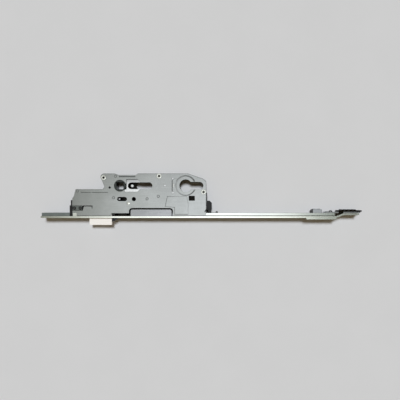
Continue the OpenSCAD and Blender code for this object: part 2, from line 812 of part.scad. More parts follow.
module latch_tail() {
    y0 = latch_back - tail_seat;
    color(steel) difference() {
        union() {
            translate([tail_x0, y0, slide_z0]) cube([tail_w, lug_y + lug_h - y0, slide_t]);
            translate([lug_x[0], lug_y, slide_z0]) cube([lug_x[1] - lug_x[0], lug_h, flange_z1 - slide_z0]);
        }
        translate([tail_x0 + tail_w / 2, latch_back - tail_seat / 2, slide_z0 - over])
            cylinder(r = tail_rivet_r + seat_gap, h = slide_t + 2 * over);
    }
}

module latch_rivet() {
    color(steel) translate([tail_x0 + tail_w / 2, latch_back - tail_seat / 2, slide_z0])
        cylinder(r = tail_rivet_r, h = -slide_z0 - seat_gap);
}

module latch_spring() {
    y0 = latch_back - pocket_d + seat_gap;
    color(steel) translate([spring_x, y0, 0]) rotate([-90, 0, 0])
        coil_spring(block_y - sheet - seat_gap - y0, spring_r - latch_wire_r, latch_wire_r, 10);
}

// Involute of the cam's base circle, which moves a flat face by cam_base_r per radian
cam_steps = 10;
cam_root_r = hub_r - 0.3;
cam_sink = 0.5;
function cam_point(reach) =
    let (turn = (reach - cam_rest) / cam_base_r * 180 / PI, a = atan2(cam_base_r, reach) + turn)
        norm([reach, cam_base_r]) * [cos(a), sin(a)];
function cam_lobe() =
    let (from = sqrt(cam_root_r * cam_root_r - cam_base_r * cam_base_r),
        to = cam_rest + cam_base_r * hub_turn * PI / 180 + run_gap)
        [for (i = [0:cam_steps]) cam_point(from + (to - from) * i / cam_steps)];

module follower() {
    arm_a = 180 + hub_turn / 2;
    color(dark) translate([hub_x, 0, 0]) difference() {
        union() {
            translate([0, 0, -half - hub_proud]) cylinder(r = hub_r, h = case_thick + 2 * hub_proud);
            translate([0, 0, flange_z0]) linear_extrude(flange_z1 - flange_z0) {
                circle(r = flange_r);
                rotate(arm_a) translate([0, -arm_w / 2]) square([arm_r, arm_w]);
                translate(arm_r * [cos(arm_a), sin(arm_a)]) circle(r = arm_tip_r);
            }
            translate([0, 0, flange_z1 - cam_sink]) linear_extrude(thrust_t + run_gap + cam_sink)
                difference() {
                    polygon(concat([[0, 0]], cam_lobe()));
                    circle(r = cam_root_r - 0.3);
                }
        }
        translate([-spindle / 2, -spindle / 2, -case_thick]) cube([spindle, spindle, 2 * case_thick]);
    }
}

module thrust_plate() {
    color(bright) translate([0, 0, thrust_z0]) linear_extrude(thrust_t) difference() {
        union() {
            translate([thrust_x0, -thrust_w / 2]) square([thrust_len, thrust_w]);
            translate([thrust_horn_x, -thrust_w / 2])
                square([thrust_x0 - thrust_horn_x + over, thrust_horn_y + thrust_w / 2]);
        }
        translate([hub_x, 0]) circle(r = hub_r + run_gap);
        obround(thrust_slot_x, thrust_x1 + fix_slot_w, 0, fix_slot_w);
    }
}

module thrust_springs() {
    z = (thrust_z0 + thrust_z1) / 2;
    color(steel) for (s = [-1, 1])
        translate([thrust_x1 + seat_gap, s * thrust_spring_y, z]) rotate([0, 90, 0])
            coil_spring(thrust_spring_len - 2 * seat_gap, thrust_spring_r - thrust_wire_r, thrust_wire_r, 9);
}

module spring_stop() {
    color(steel) translate([thrust_x1 + thrust_spring_len, -thrust_w / 2, thrust_z0])
        cube([stop_w, thrust_w, roof_z - thrust_z0]);
}

// A pin that stands on the case plate, riveted through it
module floor_pin(x, y, r, top) {
    translate([x, y, floor_z]) cylinder(r = r, h = top - floor_z);
    translate([x, y, -half]) cylinder(r = post_rivet_r, h = sheet + over);
}

module slot_pin() {
    color(bright) floor_pin(slot_pin_x, 0, slot_pin_r, thrust_z0);
}

module guide_pin() {
    color(steel) floor_pin(stud_slot_x[0] + stud_slot_w / 2, stud_slot_y, post_rivet_r, roof_z);
}

module drive_slide() {
    side = bolt_pin_r + slide_margin;
    left = bolt_pin_x - side;
    peak_x = bolt_pin_x + side;
    peak_y = bolt_tail_top;
    slot_half = bolt_pin_r + fit_gap;
    color(steel) translate([0, 0, slide_z0]) linear_extrude(slide_t) difference() {
        union() {
            polygon([
                [left, slide_low],
                [leg_x0, slide_low],
                [leg_x0, rod_y1],
                [leg_x1, rod_y1],
                [leg_x1, cam_edge],
                [leg_x0, cam_edge],
                [leg_x0, slide_top],
                [peak_x + peak_y - slide_top, slide_top],
                [peak_x, peak_y],
                [left, peak_y]
            ]);
            for (x = tab_spots)
                translate([x - tab_w / 2, rod_y0]) square([tab_w, rod_t + over]);
        }
        translate([bolt_pin_x, bolt_pin_y]) {
            circle(r = slot_half);
            rotate(-45) translate([0, -slot_half]) square([throw * sqrt(2), 2 * slot_half]);
            translate([throw, -throw]) circle(r = slot_half);
        }
        for (i = [0:1])
            translate([cam_notch_x + i * cam_pitch - cam_notch_w / 2, cam_edge - cam_notch_d])
                square([cam_notch_w, cam_notch_d + over]);
    }
}

module bolt() {
    z = bolt_t / 2;
    color(bright) difference() {
        union() {
            translate([0, 0, -z]) linear_extrude(bolt_t) window_shape(front_y, window_gap);
            translate([bolt_tail_x - bolt_tail_w / 2, bolt_head_back - over, flange_z0])
                cube([bolt_tail_w, bolt_tail_top - bolt_head_back + over, tail_z1 - flange_z0]);
        }
        translate([bolt_pin_x, bolt_pin_y, -z]) cylinder(r = bolt_pin_r + seat_gap, h = bolt_t);
    }
}

module bolt_pin() {
    color(steel) translate([bolt_pin_x, bolt_pin_y, slide_z0])
        cylinder(r = bolt_pin_r, h = tail_z1 - slide_z0);
}

module drive_rod() {
    y0 = rod_y0 - over;
    y1 = rod_y1 + over;
    color(bright) difference() {
        translate([rod_x0, rod_y0, -rod_w / 2]) cube([rod_right - rod_x0, rod_t, rod_w]);
        slot_y(cyl_screw_x - rod_slot_half, cyl_screw_x + throw + rod_slot_half, y0, y1, rod_slot_half);
        for (x = screw_spots)
            if (x > rod_x0)
                slot_y(x - rod_slot_half, x + throw + rod_slot_half, y0, y1, rod_slot_half);
        for (x = tab_spots)
            translate([x - tab_w / 2 - seat_gap, y0, -rod_w])
                cube([tab_w + 2 * seat_gap, y1 - y0, rod_w + slide_z1 + seat_gap]);
        bar_y(stud_x, y0, y1, stud_shank_r + seat_gap);
        for (x = zinc_rivets) bar_y(zinc_x0 + x, y0, y1, rivet_r + seat_gap);
        bar_y(carrier_rivet_x, y0, y1, rivet_r + seat_gap);
    }
}

module rod_foot() {
    color(bright) difference() {
        translate([foot_x0, rod_y1, -rod_w / 2]) cube([foot_x1 - foot_x0, foot_t, rod_w]);
        slot_y(cyl_screw_x, cyl_screw_x + throw + rod_slot_half, rod_y1 - over, rod_y1 + foot_t + over,
            rod_slot_half);
        bar_y(stud_x, rod_y1 - over, rod_y1 + foot_t + over, stud_shank_r + seat_gap);
    }
}

module rod_stud() {
    y1 = rod_y1 + foot_t;
    color(black) {
        bar_y(stud_x, rod_y0, y1 + stud_r, stud_shank_r);
        translate([stud_x, y1, 0]) rotate([-90, 0, 0]) rotate_extrude()
            intersection() {
                translate([0, stud_r / 4]) circle(r = stud_r);
                square([stud_r, 2 * stud_r]);
            }
    }
}

module coupling_block() {
    color(zinc) difference() {
        translate([zinc_x0, rod_y1, -rod_w / 2]) linear_extrude(rod_w) polygon([
            [0, 0],
            [block_len, 0],
            [block_len, block_h],
            [zinc_bevel[0], block_h],
            [0, block_h - zinc_bevel[1]]
        ]);
        for (x = zinc_rivets) bar_y(zinc_x0 + x, rod_y1 - over, rod_y1 + block_h + over, rivet_r + seat_gap);
    }
}

// A rivet along +Y with a flat head at each end
module headed_rivet(x, y0, y1) {
    bar_y(x, y0 - rivet_head_h, y1 + rivet_head_h, rivet_r);
    bar_y(x, y0 - rivet_head_h, y0, rivet_head_r);
    bar_y(x, y1, y1 + rivet_head_h, rivet_head_r);
}

module block_rivets() {
    color(steel) {
        for (x = zinc_rivets) headed_rivet(zinc_x0 + x, rod_y0, rod_y1 + block_h);
        headed_rivet(carrier_rivet_x, rod_y0, coupler_y0);
        for (x = coupler_rivets) bar_y(coupler_x0 + x, rod_y1, coupler_y0 + coupler_t, rivet_r);
    }
}

module coupler_carrier() {
    color(steel) difference() {
        translate([carrier_x0, rod_y1, -rod_w / 2]) cube([carrier_x1 - carrier_x0, carrier_t, rod_w]);
        bar_y(carrier_rivet_x, rod_y1 - over, coupler_y0 + over, rivet_r + seat_gap);
        for (x = coupler_rivets) bar_y(coupler_x0 + x, rod_y1 - over, coupler_y0 + over, rivet_r + seat_gap);
    }
}

module coupler() {
    cheek_w = rod_w + 2 * coupler_cheek_t;
    color(black) difference() {
        union() {
            coupler_bar();
            translate([coupler_x0 + coupler_cheek_x[0], rod_y1, -cheek_w / 2])
                cube([coupler_cheek_x[1] - coupler_cheek_x[0], carrier_t + coupler_t, cheek_w]);
        }
        translate([carrier_x0, rod_y1 - over, -rod_w / 2 - seat_gap])
            cube([carrier_x1 - carrier_x0 + over, carrier_t + over, rod_w + 2 * seat_gap]);
        for (x = coupler_rivets)
            bar_y(coupler_x0 + x, coupler_y0 - over, coupler_y0 + coupler_t + tooth_h + over,
                rivet_r + seat_gap);
    }
}

// Toothed bar of the coupler, without its cheeks
module coupler_bar() {
    translate([coupler_x0, coupler_y0, -rod_w / 2]) linear_extrude(rod_w) {
        square([coupler_len, coupler_t]);
        for (i = [0:tooth_count - 1]) translate([tooth_first + i * tooth_pitch, coupler_t])
            polygon([
                [-tooth_base / 2, -over],
                [tooth_base / 2, -over],
                [tooth_base / 2, 0],
                [tooth_tip / 2, tooth_h],
                [-tooth_tip / 2, tooth_h],
                [-tooth_base / 2, 0]
            ]);
    }
}

module rod_hook() {
    color(steel) translate([hook_x, coupler_y0, -hook_w / 2]) rotate_extrude(angle = 180)
        translate([hook_r[0], 0]) square([hook_r[1] - hook_r[0], hook_w]);
}

faceplate();
end_doubler();
doubler_rivets();
case_plate();
case_rim();
case_cover();
case_screws();
case_posts();
left_guide();
backing_bar();
corner_block();
rod_clip();
front_lugs();
front_screws();
latch_guide();
latch_head();
latch_tail();
latch_rivet();
latch_spring();
follower();
thrust_plate();
thrust_springs();
spring_stop();
slot_pin();
guide_pin();
drive_slide();
bolt();
bolt_pin();
drive_rod();
rod_foot();
rod_stud();
coupling_block();
block_rivets();
coupler_carrier();
coupler();
rod_hook();
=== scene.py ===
import json
import math

import bpy
from mathutils import Matrix, Vector


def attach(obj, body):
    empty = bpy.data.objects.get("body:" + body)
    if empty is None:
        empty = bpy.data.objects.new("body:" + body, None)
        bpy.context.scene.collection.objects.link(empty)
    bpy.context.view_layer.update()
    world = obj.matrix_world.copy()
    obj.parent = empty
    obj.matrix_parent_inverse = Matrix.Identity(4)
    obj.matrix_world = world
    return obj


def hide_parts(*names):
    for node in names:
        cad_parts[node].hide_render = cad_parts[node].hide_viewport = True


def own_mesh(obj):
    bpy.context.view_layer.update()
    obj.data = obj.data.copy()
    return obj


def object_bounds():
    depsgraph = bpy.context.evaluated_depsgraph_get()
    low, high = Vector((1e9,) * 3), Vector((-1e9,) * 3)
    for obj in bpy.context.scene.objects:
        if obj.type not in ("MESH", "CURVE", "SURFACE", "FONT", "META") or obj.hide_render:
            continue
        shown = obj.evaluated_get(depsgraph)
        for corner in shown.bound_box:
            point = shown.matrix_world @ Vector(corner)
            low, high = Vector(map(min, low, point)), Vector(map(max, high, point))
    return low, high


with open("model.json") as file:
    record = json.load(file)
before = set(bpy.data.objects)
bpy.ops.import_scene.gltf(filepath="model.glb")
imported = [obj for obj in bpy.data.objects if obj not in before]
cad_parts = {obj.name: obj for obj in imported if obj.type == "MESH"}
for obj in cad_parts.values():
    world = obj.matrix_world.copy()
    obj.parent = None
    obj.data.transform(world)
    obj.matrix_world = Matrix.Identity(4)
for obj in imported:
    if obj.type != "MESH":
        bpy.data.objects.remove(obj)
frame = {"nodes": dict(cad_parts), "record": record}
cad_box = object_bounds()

MM = 0.001
NODES = frame["nodes"]
BODY_OF = {n: b for b, ns in frame["record"]["behaviour"]["bodies"].items() for n in ns}
SLOT_OF = {s["node"]: s["material_slot"] for s in frame["record"]["subparts"]}


def srgb(r, g, b):
    """Linear colour of an 8-bit screen colour."""
    shades = [c / 255 for c in (r, g, b)]
    return tuple(((s + 0.055) / 1.055) ** 2.4 if s > 10 / 255 else s / 12.92 for s in shades) + (1.0,)


# Materials


class Finish:
    """A node material on Object coordinates, built step by step."""

    def __init__(self, name, metallic, specular=0.5):
        self.material = bpy.data.materials.new(name)
        self.material.use_nodes = True
        self.tree = self.material.node_tree
        self.shader = self.tree.nodes["Principled BSDF"]
        self.shader.inputs["Metallic"].default_value = metallic
        self.shader.inputs["Specular IOR Level"].default_value = specular
        self.place = self.add("ShaderNodeTexCoord").outputs["Object"]

    def add(self, kind, **values):
        node = self.tree.nodes.new(kind)
        for key, value in values.items():
            setattr(node, key, value)
        return node

    def link(self, a, b):
        self.tree.links.new(a, b)

    def stretched(self, scale, turn=(0, 0, 0)):
        """Object coordinates scaled along each axis, for streaks."""
        mapping = self.add("ShaderNodeMapping")
        mapping.inputs["Scale"].default_value = scale
        mapping.inputs["Rotation"].default_value = turn
        self.link(self.place, mapping.inputs["Vector"])
        return mapping.outputs["Vector"]

    def noise(self, vector, scale, detail=3.0, rough=0.55):
        node = self.add("ShaderNodeTexNoise")
        node.inputs["Scale"].default_value = scale
        node.inputs["Detail"].default_value = detail
        node.inputs["Roughness"].default_value = rough
        self.link(vector, node.inputs["Vector"])
        return node.outputs["Fac"]

    def cells(self, vector, scale):
        node = self.add("ShaderNodeTexVoronoi")
        node.inputs["Scale"].default_value = scale
        self.link(vector, node.inputs["Vector"])
        split = self.add("ShaderNodeSeparateColor")
        self.link(node.outputs["Color"], split.inputs["Color"])
        return split.outputs["Red"]

    def ramp(self, value, *stops):
        node = self.add("ShaderNodeValToRGB")
        edge = node.color_ramp.elements
        edge[0].position, edge[0].color = stops[0]
        edge[1].position, edge[1].color = stops[-1]
        for position, colour in stops[1:-1]:
            edge.new(position).color = colour
        self.link(value, node.inputs["Fac"])
        return node.outputs["Color"]

    def blend(self, amount, a, b, way="MIX"):
        node = self.add("ShaderNodeMix", data_type="RGBA", blend_type=way)
        for name, kind, value in (("Factor", "VALUE", amount), ("A", "RGBA", a), ("B", "RGBA", b)):
            target = [s for s in node.inputs if s.name == name and s.type == kind][0]
            if hasattr(value, "links"):
                self.link(value, target)
            else:
                target.default_value = value
        return [s for s in node.outputs if s.type == "RGBA"][0]

    def spread(self, value, low, high):
        node = self.add("ShaderNodeMapRange")
        node.inputs["To Min"].default_value = low
        node.inputs["To Max"].default_value = high
        self.link(value, node.inputs["Value"])
        return node.outputs["Result"]

    def along(self, axis, start, end):
        """0 to 1 between two places in mm along an axis."""
        split = self.add("ShaderNodeSeparateXYZ")
        self.link(self.place, split.inputs["Vector"])
        node = self.add("ShaderNodeMapRange")
        node.inputs["From Min"].default_value = start * MM
        node.inputs["From Max"].default_value = end * MM
        self.link(split.outputs[axis], node.inputs["Value"])
        return node.outputs["Result"]

    def sums(self, way, a, b=0.0, clamp=False):
        """One step of arithmetic on sockets or numbers."""
        node = self.add("ShaderNodeMath", operation=way, use_clamp=clamp)
        for socket, value in zip(node.inputs, (a, b)):
            if hasattr(value, "links"):
                self.link(value, socket)
            else:
                socket.default_value = value
        return node.outputs["Value"]

    def shade_ring(self, radius, width, strength):
        """A soft ring of painted shade around the Z axis, in mm, strongest towards +X and gone towards -X."""
        split = self.add("ShaderNodeSeparateXYZ")
        self.link(self.place, split.inputs["Vector"])
        x, y = split.outputs["X"], split.outputs["Y"]
        reach = self.sums("SQRT", self.sums("ADD", self.sums("MULTIPLY", x, x), self.sums("MULTIPLY", y, y)))
        off = self.sums("ABSOLUTE", self.sums("SUBTRACT", reach, radius * MM))
        band = self.sums("SUBTRACT", 1.0, self.sums("DIVIDE", off, width * MM), clamp=True)
        side = self.sums("ADD", self.sums("MULTIPLY", self.sums("DIVIDE", x, reach), 0.6), 0.55, clamp=True)
        return self.sums("MULTIPLY", self.sums("MULTIPLY", band, side), strength)

    def marked(self, mark):
        """1 on the faces of a piece with a mark: rubbed edges, painted shade in bores, dimples and shaded
        faces, a painted highlight on a rib; 0 elsewhere.
        """
        return self.add("ShaderNodeAttribute", attribute_name=mark).outputs["Fac"]

    def colour(self, socket):
        self.link(socket, self.shader.inputs["Base Color"])

    def roughness(self, socket):
        self.link(socket, self.shader.inputs["Roughness"])

    def bump(self, height, strength, distance):
        node = self.add("ShaderNodeBump")
        node.inputs["Strength"].default_value = strength
        node.inputs["Distance"].default_value = distance
        self.link(height, node.inputs["Height"])
        self.link(node.outputs["Normal"], self.shader.inputs["Normal"])


# The colour of painted shade and painted shadow
SHADE_COLOUR = srgb(25, 25, 22)
# The colour of a painted highlight
HIGHLIGHT_COLOUR = srgb(248, 249, 246)
WORN = srgb(100, 105, 101)
# Sizes of the patterns, as repeats in a metre, and depths of the grain in metres
PLATING_CLOUDS = 45.0
ROLLING_STREAKS = 900.0
ROLLING_SHINE = 500.0
ROLLING_DEPTH = 0.00008
MOULDING_PATCHES = 60.0
MOULDING_SHINE = 900.0
MOULDING_GRAIN = 2600.0
MOULDING_DEPTH = 0.00006
CASTING_CLOUDS = 80.0


def rolled_metal(name, dark, mid, light, rough, streak, metallic=1.0, cells=0.0, cell_scale=260.0, shade_bands=(),
                 shade_ring=None):
    """Sheet or strip with rolling streaks along one axis, cloudy plating and lighter edges.

    The shade bands list an axis and two places along it in mm, between which the metal turns dark with
    painted shade;
    the shade ring gives the radius, width and strength of a ring of painted shade in the foot of a pressed
    form."""
    f = Finish(name, metallic)
    clouds = f.noise(f.place, PLATING_CLOUDS, 4.0)
    streaks = f.noise(f.stretched(streak), ROLLING_STREAKS, 2.0)
    base = f.ramp(clouds, (0.25, dark), (0.5, mid), (0.78, light))
    base = f.blend(0.22, base, f.ramp(streaks, (0.3, dark), (0.7, light)))
    if cells:
        base = f.blend(cells, base, f.ramp(f.cells(f.place, cell_scale), (0.0, dark), (1.0, light)))
    base = f.blend(f.marked("rubbed"), base, light)
    base = f.blend(f.marked("painted_highlight"), base, HIGHLIGHT_COLOUR)
    base = f.blend(f.marked("painted_shade"), base, SHADE_COLOUR)
    for mask in shade_bands:
        base = f.blend(f.along(*mask), base, SHADE_COLOUR)
    if shade_ring:
        base = f.blend(f.shade_ring(*shade_ring), base, SHADE_COLOUR)
    f.colour(base)
    f.roughness(f.spread(f.noise(f.stretched(streak), ROLLING_SHINE, 3.0), rough[0], rough[1]))
    f.bump(streaks, 0.12, ROLLING_DEPTH)
    return f.material


def moulded_plastic(name, dark, light, rough):
    """Matt moulding with a fine spark-eroded grain and rubbed edges."""
    f = Finish(name, 0.0, 0.4)
    patches = f.noise(f.place, MOULDING_PATCHES, 3.0)
    base = f.ramp(patches, (0.3, dark), (0.75, light))
    base = f.blend(f.marked("rubbed"), base, tuple(min(1.0, 1.3 * c + 0.006) for c in light[:3]) + (1.0,))
    f.colour(f.blend(f.marked("worn"), base, WORN))
    f.roughness(f.spread(f.noise(f.place, MOULDING_SHINE, 2.0), rough[0], rough[1]))
    f.bump(f.noise(f.place, MOULDING_GRAIN, 2.0), 0.25, MOULDING_DEPTH)
    return f.material


def grainy_metal(name, dark, light, rough, grain, depth, metallic=1.0, specular=0.5):
    """Cast, sintered or blackened surface: no streaks, an even fine grain."""
    f = Finish(name, metallic, specular)
    clouds = f.noise(f.place, CASTING_CLOUDS, 4.0)
    specks = f.noise(f.place, grain, 2.0)
    base = f.ramp(clouds, (0.28, dark), (0.75, light))
    base = f.blend(0.25, base, f.ramp(specks, (0.35, dark), (0.65, light)))
    base = f.blend(f.marked("rubbed"), base, tuple(min(1.0, 1.3 * c + 0.01) for c in light[:3]) + (1.0,))
    base = f.blend(f.marked("painted_shade"), base, SHADE_COLOUR)
    f.colour(base)
    f.roughness(f.spread(specks, rough[0], rough[1]))
    f.bump(specks, 0.3, depth)
    return f.material


ZINC_SHEET = dict(dark=srgb(158, 161, 160), mid=srgb(166, 169, 168), light=srgb(176, 179, 179),
                  rough=(0.2, 0.26), streak=(0.05, 1, 1), cells=0.05, cell_scale=420.0)
PLAIN_STEEL = dict(dark=srgb(148, 150, 153), mid=srgb(160, 162, 165), light=srgb(178, 180, 182),
                   rough=(0.2, 0.3), streak=(0.06, 1, 1))
FINISHES = {
    "galvanised_strip": rolled_metal("galvanised_strip", srgb(222, 225, 219), srgb(234, 237, 230),
                                     srgb(244, 246, 240), (0.14, 0.22), (0.03, 1, 1), cells=0.08),
    "zinc_sheet": rolled_metal("zinc_sheet", **ZINC_SHEET),
    "bright_zinc": rolled_metal("bright_zinc", srgb(196, 198, 200), srgb(210, 212, 214), srgb(224, 225, 226),
                                (0.16, 0.24), (0.2, 1, 1)),
    "plain_steel": rolled_metal("plain_steel", **PLAIN_STEEL),
    "die_cast_zinc": grainy_metal("die_cast_zinc", srgb(158, 163, 166), srgb(184, 188, 191), (0.4, 0.55),
                                  1500.0, 0.00008, metallic=0.3),
    "nickel": rolled_metal("nickel", srgb(250, 244, 236), srgb(254, 249, 243), srgb(255, 253, 249),
                           (0.3, 0.4), (0.1, 1, 1), metallic=0.2),
    "dark_hub": grainy_metal("dark_hub", srgb(58, 62, 60), srgb(86, 90, 88), (0.3, 0.44), 2200.0, 0.00006),
    "grey_steel": grainy_metal("grey_steel", srgb(124, 132, 130), srgb(156, 162, 162), (0.3, 0.42),
                               1800.0, 0.00005),
    "black_steel": grainy_metal("black_steel", srgb(20, 19, 17), srgb(44, 40, 36), (0.36, 0.5),
                                1800.0, 0.00006, metallic=0.7),
    "black_plastic": moulded_plastic("black_plastic", srgb(12, 12, 12), srgb(30, 30, 30), (0.42, 0.6)),
    "pale_plastic": moulded_plastic("pale_plastic", srgb(192, 196, 187), srgb(212, 216, 206), (0.4, 0.55)),
}
# The same finishes on pieces that are partly dark with painted shade or shadow, or in a darker or lighter
# tone
OWN_FINISH = {
    # Painted shade on the inner face of the back plate
    "case_plate": rolled_metal("zinc_sheet_painted_shade_up", shade_bands=[("Z", -7.1, -6.6)], **ZINC_SHEET),
    # Painted shade on the inner face of the cover, and a ring of painted shade at the foot of its pressed
    # ring
    "case_cover": rolled_metal("zinc_sheet_painted_shade_down", shade_bands=[("Z", 7.1, 6.6)],
                               shade_ring=(13.5, 1.3, 0.7), **ZINC_SHEET),
    # Painted shade on the bolt's tail under the cover, for the dark gap round it in the window
    "bolt": rolled_metal("plain_steel_painted_shade_tail", shade_bands=[("Y", -33.3, -33.0)], **PLAIN_STEEL),
    # Painted shadow of the cover's edge on the thrust plate: darker towards its top, darkest along the top
    # edge
    "thrust_plate": rolled_metal("bright_zinc_painted_shadow_top", srgb(200, 202, 204), srgb(216, 218, 220),
                                 srgb(228, 229, 230), (0.16, 0.24), (0.2, 1, 1),
                                 shade_bands=[("Y", 0.5, 20.0), ("Y", 8.2, 8.8)]),
    "drive_rod": rolled_metal("galvanised_rod", srgb(200, 204, 201), srgb(212, 216, 213), srgb(224, 227, 223),
                              (0.14, 0.22), (0.03, 1, 1), cells=0.08),
    "rod_foot": rolled_metal("bright_zinc_foot", srgb(168, 171, 170), srgb(179, 182, 181),
                             srgb(192, 195, 193), (0.16, 0.24), (0.2, 1, 1)),
    "coupler": grainy_metal("black_steel_brown", srgb(12, 9, 4), srgb(26, 21, 11), (0.44, 0.58),
                            1800.0, 0.00006, metallic=0.7, specular=0.12),
    # A darker copy of the zinc sheet: painted shade in the grooves
    "groove_shade": rolled_metal("zinc_sheet_painted_shade", srgb(96, 99, 98), srgb(108, 111, 110), srgb(120, 123, 122),
                                (0.24, 0.32), (0.05, 1, 1)),
    # A lighter copy of the black plastic
    "rod_clip": moulded_plastic("black_plastic_lighter", srgb(24, 25, 26), srgb(46, 47, 49), (0.42, 0.6)),
}


# Modelling

MERGE_GAP = 0.002
FLAT_ANGLE = math.radians(0.6)
PRESSED_ANGLE = math.radians(40)


def pick_only(piece):
    bpy.ops.object.select_all(action="DESELECT")
    piece.select_set(True)
    bpy.context.view_layer.objects.active = piece


def settle(piece, node, finish=None, smooth=35, own=None):
    """Smooths a piece, keeps its flats flat, gives it its finish and puts it on its node's body."""
    pick_only(piece)
    bpy.ops.object.transform_apply(location=True, rotation=True, scale=True)
    bpy.ops.object.shade_smooth_by_angle(angle=math.radians(smooth))
    flats = piece.modifiers.new("flats", "WEIGHTED_NORMAL")
    flats.keep_sharp = True
    bpy.ops.object.modifier_apply(modifier="flats")
    slot = finish or SLOT_OF[node]
    piece.data.materials.clear()
    piece.data.materials.append(OWN_FINISH.get(own or node) or FINISHES[slot])
    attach(piece, BODY_OF[node])
    return piece


def break_edges(piece, width, segments=2, angle=36):
    """Bevels the sharp edges and marks the new faces as rubbed."""
    pick_only(piece)
    edge = piece.modifiers.new("edge", "BEVEL")
    edge.width = width * MM
    edge.segments = segments
    edge.limit_method = "ANGLE"
    edge.angle_limit = math.radians(angle)
    edge.use_clamp_overlap = False
    edge.material = 1
    bpy.ops.object.modifier_apply(modifier="edge")
    mesh = piece.data
    rubbed = mesh.attributes.new("rubbed", "FLOAT", "FACE")
    for face in mesh.polygons:
        rubbed.data[face.index].value = face.material_index
        face.material_index = 0


def copy_of(node, name):
    """A node's own mesh as a new piece, with its loose triangles merged."""
    piece = bpy.data.objects.new(name, NODES[node].data.copy())
    bpy.context.scene.collection.objects.link(piece)
    pick_only(piece)
    piece.data.materials.clear()
    bpy.ops.mesh.customdata_custom_splitnormals_clear()
    bpy.ops.object.mode_set(mode="EDIT")
    bpy.ops.mesh.select_all(action="SELECT")
    bpy.ops.mesh.remove_doubles(threshold=MERGE_GAP * MM)
    bpy.ops.mesh.dissolve_limited(angle_limit=FLAT_ANGLE)
    bpy.ops.object.mode_set(mode="OBJECT")
    return piece


def inside(spot, box):
    return box[0] < spot.x < box[2] and box[1] < spot.y < box[3]


def round_raised(piece, level, wide, fine, fine_box):
    """Rounds the sharp edges above a level, in mm, as pressed forms have them, and finely in one box."""
    for width, in_box, segments in ((wide, False, 4), (fine, True, 3)):
        pick_only(piece)
        bpy.ops.object.mode_set(mode="EDIT")
        bpy.ops.mesh.select_mode(type="EDGE")
        bpy.ops.mesh.select_all(action="DESELECT")
        bpy.ops.mesh.edges_select_sharp(sharpness=PRESSED_ANGLE)
        bpy.ops.object.mode_set(mode="OBJECT")
        mesh = piece.data
        for edge in mesh.edges:
            ends = [mesh.vertices[v].co / MM for v in edge.vertices]
            edge.select = edge.select and all(e.z > level and inside(e, fine_box) == in_box for e in ends)
        bpy.ops.object.mode_set(mode="EDIT")
        bpy.ops.mesh.bevel(offset=width * MM, segments=segments, affect="EDGES")
        bpy.ops.object.mode_set(mode="OBJECT")


def round_rim(piece, level, width, boxes):
    """Rounds the top edges that look to +Y at a level in mm, inside the boxes, as a folded sheet has them."""
    pick_only(piece)
    bpy.ops.object.mode_set(mode="EDIT")
    bpy.ops.mesh.select_mode(type="EDGE")
    bpy.ops.mesh.select_all(action="DESELECT")
    bpy.ops.object.mode_set(mode="OBJECT")
    mesh = piece.data
    rear = set()
    for face in mesh.polygons:
        if face.normal.y > 0.25 and abs(face.normal.z) < 0.1:
            rear.update(face.edge_keys)
    for edge in mesh.edges:
        ends = [mesh.vertices[v].co / MM for v in edge.vertices]
        edge.select = tuple(sorted(edge.vertices)) in rear and all(
            abs(e.z - level) < 0.01 and any(inside(e, box) for box in boxes) for e in ends)
    bpy.ops.object.mode_set(mode="EDIT")
    bpy.ops.mesh.bevel(offset=width * MM, segments=4, affect="EDGES", clamp_overlap=False)
    bpy.ops.object.mode_set(mode="OBJECT")


def reshape(piece, chosen, grow, centre):
    """Scales the chosen points of a piece about a centre in mm; chosen tests a point in mm."""
    pick_only(piece)
    bpy.ops.object.mode_set(mode="EDIT")
    bpy.ops.mesh.select_mode(type="VERT")
    bpy.ops.mesh.select_all(action="DESELECT")
    bpy.ops.object.mode_set(mode="OBJECT")
    for vertex in piece.data.vertices:
        vertex.select = chosen(vertex.co / MM)
    bpy.ops.object.mode_set(mode="EDIT")
    bpy.ops.transform.resize(value=grow, center_override=Vector(centre) * MM)
    bpy.ops.object.mode_set(mode="OBJECT")


def mark(piece, name, chosen):
    """Marks the faces for a finish; chosen tests a face's centre in mm and its normal."""
    mesh = piece.data
    marks = mesh.attributes.new(name, "FLOAT", "FACE")
    for face in mesh.polygons:
        marks.data[face.index].value = float(chosen(face.center / MM, face.normal))


def softened(node, width, finish=None):
    """A node's own shape with its sharp edges broken."""
    piece = copy_of(node, node + "_soft")
    break_edges(piece, width)
    settle(piece, node, finish)
    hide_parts(node)
    return piece


def turned(name, centre, rings, sides=48):
    """A lathe-turned piece along Z: rings are radius and height, and the last ring closes on the first."""
    bpy.ops.object.select_all(action="DESELECT")
    x, y = centre[0] * MM, centre[1] * MM
    radius, height = rings[0]
    bpy.ops.mesh.primitive_circle_add(vertices=sides, radius=radius * MM, location=(x, y, height * MM))
    piece = bpy.context.object
    piece.name = name
    bpy.ops.object.mode_set(mode="EDIT")
    for next_radius, next_height in rings[1:]:
        bpy.ops.mesh.extrude_edges_move(
            TRANSFORM_OT_translate={"value": (0, 0, (next_height - height) * MM)})
        grow = next_radius / radius
        bpy.ops.transform.resize(value=(grow, grow, 1), center_override=(x, y, next_height * MM))
        radius, height = next_radius, next_height
    bpy.ops.mesh.select_mode(type="EDGE")
    bpy.ops.mesh.select_all(action="DESELECT")
    bpy.ops.mesh.select_non_manifold()
    bpy.ops.mesh.bridge_edge_loops()
    bpy.ops.mesh.select_all(action="SELECT")
    bpy.ops.mesh.normals_make_consistent(inside=False)
    bpy.ops.object.mode_set(mode="OBJECT")
    return piece


def joined(name, pieces):
    """Several pieces of one node as one piece."""
    bpy.ops.object.select_all(action="DESELECT")
    for piece in pieces:
        piece.select_set(True)
    bpy.context.view_layer.objects.active = pieces[0]
    bpy.ops.object.join()
    pieces[0].name = name
    return pieces[0]


